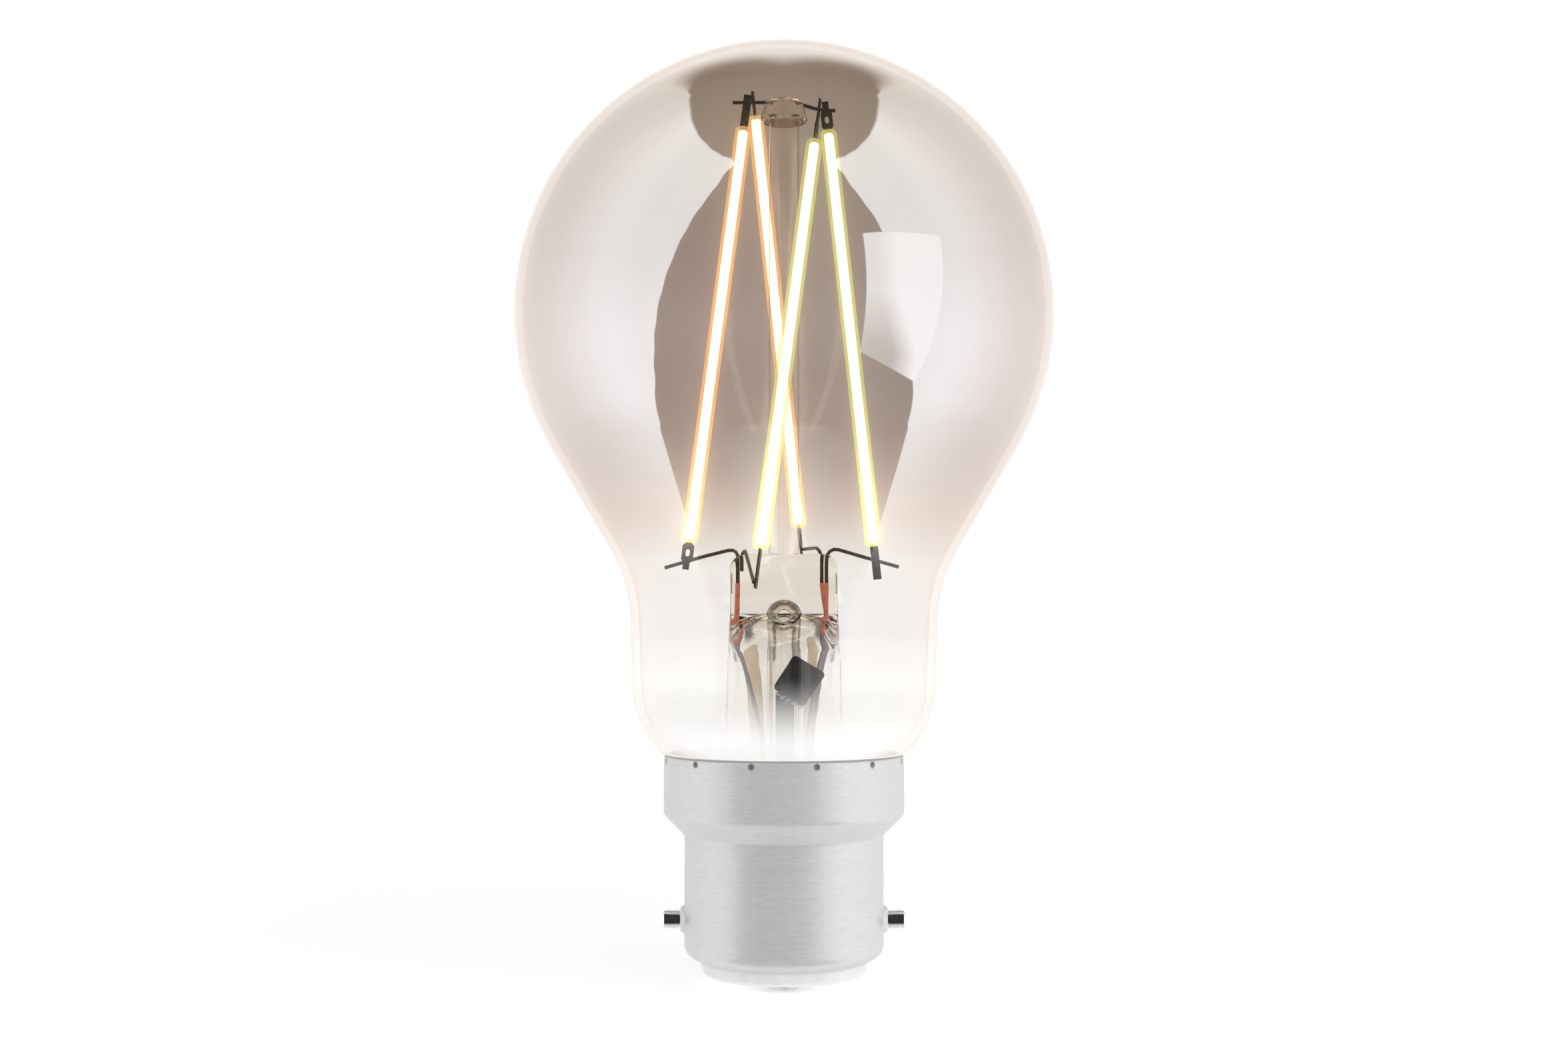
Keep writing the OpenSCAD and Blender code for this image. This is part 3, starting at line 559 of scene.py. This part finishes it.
def soft_boxes(t, x, y, z):
    """Two big soft boxes left and right that join behind the lamp, dark in front and above. Their
    edges are curves of azimuth, 0 to 1 for 0 to 180 degrees from the front to either side, and of
    elevation, 0 to 1 for -90 to 90 degrees."""
    azimuth = math_node(t, "ARCTAN2", math_node(t, "ABSOLUTE", x), math_node(t, "MULTIPLY", y, -1.0))
    azimuth = math_node(t, "DIVIDE", azimuth, math.pi)
    elevation = math_node(t, "ADD", math_node(t, "DIVIDE", math_node(t, "ARCSINE", z), math.pi), 0.5)
    inner_edge = curve(t, elevation, [((e + 90) / 180, a / 180) for e, a in (
        (-90, 77), (-60, 77), (-45, 76.5), (-41.5, 72.5), (-30, 63.8), (-20, 58.6), (-10, 54.9), (1, 51.2),
        (12, 47.4), (23, 43.4), (33, 39.2), (42.5, 34.4), (51.3, 30.2), (65, 20))])
    top_edge = curve(t, azimuth, [(a / 180, (e + 90) / 180) for a, e in (
        (0, 46), (30, 54.3), (40, 56.7), (53, 59.6), (72.5, 63.1), (100, 65.2), (120, 64), (131, 62),
        (143, 57), (155.5, 50), (166, 52), (180, 59))])
    top_soft = remap(t, azimuth, 0.75, 0.9, 0.003, 0.05)
    inside = beyond(t, azimuth, inner_edge, 0.002)
    boxes = math_node(t, "MULTIPLY", inside, beyond(t, top_edge, elevation, top_soft))

    # brightness at half scale by azimuth, doubled again and a little more downwards
    fall = curve(t, azimuth, [(a / 180, v / 2) for a, v in (
        (0, 1.75), (60, 1.75), (75, 1.9), (90, 1.8), (110, 1.5), (125, 1.3), (145, 1.1), (160, 1.0),
        (180, 0.95))])
    fall = math_node(t, "MULTIPLY", fall, remap(t, z, 0.3, -0.2, 2.0, 2.24))
    crown = math_node(t, "MULTIPLY", remap(t, azimuth, 0.78, 0.92), remap(t, z, 0.55, 0.85, 0.0, 0.45))
    fall = math_node(t, "MULTIPLY", fall, math_node(t, "ADD", crown, 1.0))
    return mix_value(t, boxes, 0.045, fall)


def window(t, d, z):
    """A small bright window in front on the right, dimmer along its left side and at its foot."""
    def inwards(first, second):
        """Distance from the plane through two directions, on the side of their cross product."""
        return vector_node(t, "DOT_PRODUCT", d, direction(*first).cross(direction(*second)).normalized())

    top_left, low_left, low_right, top_right = (33.5, 24), (33.1, -21.6), (63.3, -28), (70.2, 23.1)
    soft = 0.006
    pane = 1.0
    for pair in ((top_left, low_left), (low_right, top_right), (top_right, top_left), (low_left, low_right)):
        pane = math_node(t, "MULTIPLY", pane, remap(t, inwards(*pair), -soft, soft, 0.0, 1.0, "SMOOTHSTEP"))
    bright_from = remap(t, z, -0.34, 0.05, 0.42, 0.24)
    inset = math_node(t, "SUBTRACT", inwards(top_left, low_left), bright_from)
    glow = mix_value(t, remap(t, inset, -0.17, 0.0), remap(t, z, -0.34, 0.05, 0.8, 1.7), 2.25)
    return math_node(t, "MULTIPLY", pane, glow)


def studio():
    """White ground for the eye, soft boxes and a window for the gloss, a soft key light from the front
    right for matt surfaces, and pale and grey strips all round for what thick glass bends."""
    world = bpy.data.worlds.new("studio")
    world.use_nodes = True
    t = world.node_tree
    t.nodes.clear()
    out = t.nodes.new("ShaderNodeOutputWorld")
    d = add(t, "ShaderNodeTexCoord").outputs["Generated"]
    x, y, z = add(t, "ShaderNodeSeparateXYZ", {0: d}).outputs

    from_below = remap(t, z, -0.77, -0.87, 0.0, 0.75, "SMOOTHSTEP")
    lights = math_node(t, "MAXIMUM", soft_boxes(t, x, y, z), from_below)
    lights = math_node(t, "MAXIMUM", lights, window(t, d, z))

    towards = vector_node(t, "DOT_PRODUCT", d, direction(30, 5))
    key = math_node(t, "ADD", 0.38, remap(t, towards, 0.45, 1.0, 0.0, 1.0, "SMOOTHSTEP"))
    soft = math_node(t, "ADD", key, math_node(t, "MULTIPLY", lights, 0.2))

    turns = math_node(t, "COSINE", math_node(t, "MULTIPLY", math_node(t, "ARCTAN2", y, x), 8.0))
    strips = remap(t, turns, -0.7, 0.1, 0.25, 1.0, "SMOOTHSTEP")

    rays = add(t, "ShaderNodeLightPath")
    strength = mix_value(t, rays.outputs["Is Glossy Ray"], soft, lights)
    strength = mix_value(t, rays.outputs["Is Transmission Ray"], strength, strips)
    strength = mix_value(t, rays.outputs["Is Camera Ray"], strength, 1.0)
    shader = add(t, "ShaderNodeBackground", {"Color": WHITE, "Strength": strength})
    t.links.new(shader.outputs[0], out.inputs["Surface"])
    scene.world = world


def pale_floor():
    """A plain matt floor that the glass doesn't mirror."""
    bpy.ops.mesh.primitive_plane_add(size=8.0, location=(0, 0, 0))
    floor = bpy.context.object
    floor.name = "floor"
    m, t, out = material("floor")
    pale = ramp(t, noise(t, place(t), 3.0), [(0.3, (0.84, 0.84, 0.84)), (0.7, (0.88, 0.88, 0.88))])
    shader = add(t, "ShaderNodeBsdfPrincipled", {
        "Base Color": pale, "Roughness": 1.0, "Specular IOR Level": 0.0, "Emission Color": WHITE,
        "Emission Strength": 0.45})
    t.links.new(shader.outputs[0], out.inputs["Surface"])
    floor.data.materials.append(m)
    floor.visible_glossy = False


def lens_bloom():
    """The soft glow round the lit filaments that a real lens adds."""
    scene.use_nodes = True
    t = scene.node_tree
    t.nodes.clear()
    picture = t.nodes.new("CompositorNodeRLayers")
    bloom = t.nodes.new("CompositorNodeGlare")
    bloom.glare_type = "BLOOM"
    bloom.quality = "HIGH"
    for name, value in (("Threshold", 1.1), ("Strength", 0.8), ("Size", 0.3), ("Saturation", 1.6)):
        bloom.inputs[name].default_value = value
    result = t.nodes.new("CompositorNodeComposite")
    t.links.new(picture.outputs["Image"], bloom.inputs["Image"])
    t.links.new(bloom.outputs["Image"], result.inputs["Image"])


studio()
pale_floor()

camera = bpy.data.objects.new("camera", bpy.data.cameras.new("camera"))
scene.collection.objects.link(camera)
camera.location = (0.0, -0.217, 0.0398)
camera.rotation_euler = (Vector((0, 0, 0.05067)) - camera.location).to_track_quat("-Z", "Y").to_euler()
camera.data.lens = 44.7
camera.data.sensor_width = 36.0
camera.data.clip_start = 0.01
scene.camera = camera
scene.view_settings.view_transform = "Standard"
lens_bloom()
